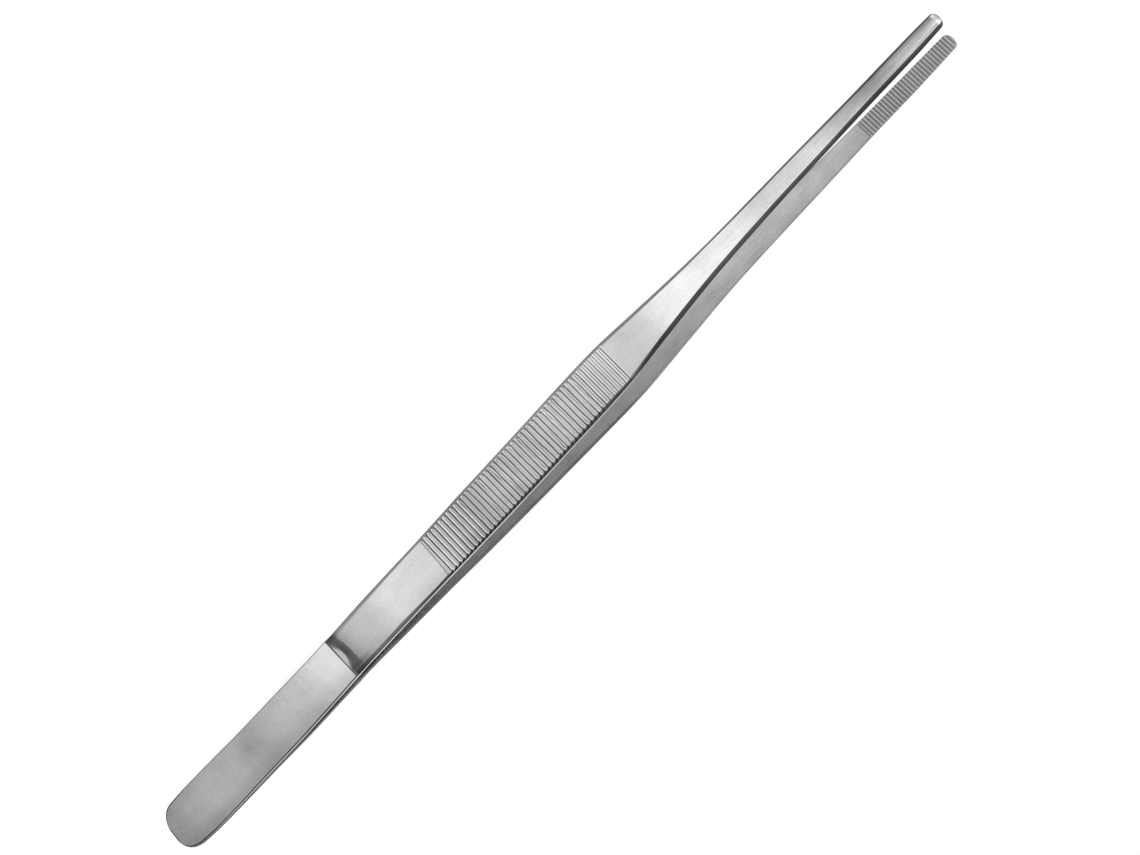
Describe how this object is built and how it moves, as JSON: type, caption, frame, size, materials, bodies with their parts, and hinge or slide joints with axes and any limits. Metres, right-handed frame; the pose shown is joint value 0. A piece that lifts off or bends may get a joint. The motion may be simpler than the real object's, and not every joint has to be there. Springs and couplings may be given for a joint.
{
  "type": "print tongs",
  "caption": "Sprung stainless steel darkroom print tongs: arms welded at a rounded butt, cross-grooved thumb grips and narrow toothed jaws.",
  "frame": {"origin": "middle of the bounding box's base: half way along the tongs, on the plane midway between the arms, at the level of the side edges they rest on", "axes": "+X along the tongs to the jaw tips, +Y the opening direction towards the left arm, +Z across the width of the arms, upwards"},
  "size_m": [0.3, 0.024, 0.0147],
  "materials": {
    "brushed_stainless": "satin brushed across the arm",
    "weld_metal": "dull cast weld nugget"
  },
  "bodies": {
    "butt": {"left_butt": "brushed_stainless", "right_butt": "brushed_stainless", "spot_weld_rear": "weld_metal", "spot_weld_front": "weld_metal"},
    "left_arm": {"left_arm": "brushed_stainless"},
    "right_arm": {"right_arm": "brushed_stainless"}
  },
  "joints": [
    {"name": "left_arm_flexure", "type": "hinge", "parent": "butt", "child": "left_arm", "pos_m": [-0.07, 0.00276, 0.00734], "axis": [0, 0, -1], "range_deg": [0, 2.54], "stiffness_Nm_per_rad": 8.5},
    {"name": "right_arm_flexure", "type": "hinge", "parent": "butt", "child": "right_arm", "pos_m": [-0.07, -0.00276, 0.00734], "axis": [0, 0, 1], "range_deg": [0, 2.54], "stiffness_Nm_per_rad": 8.5}
  ]
}
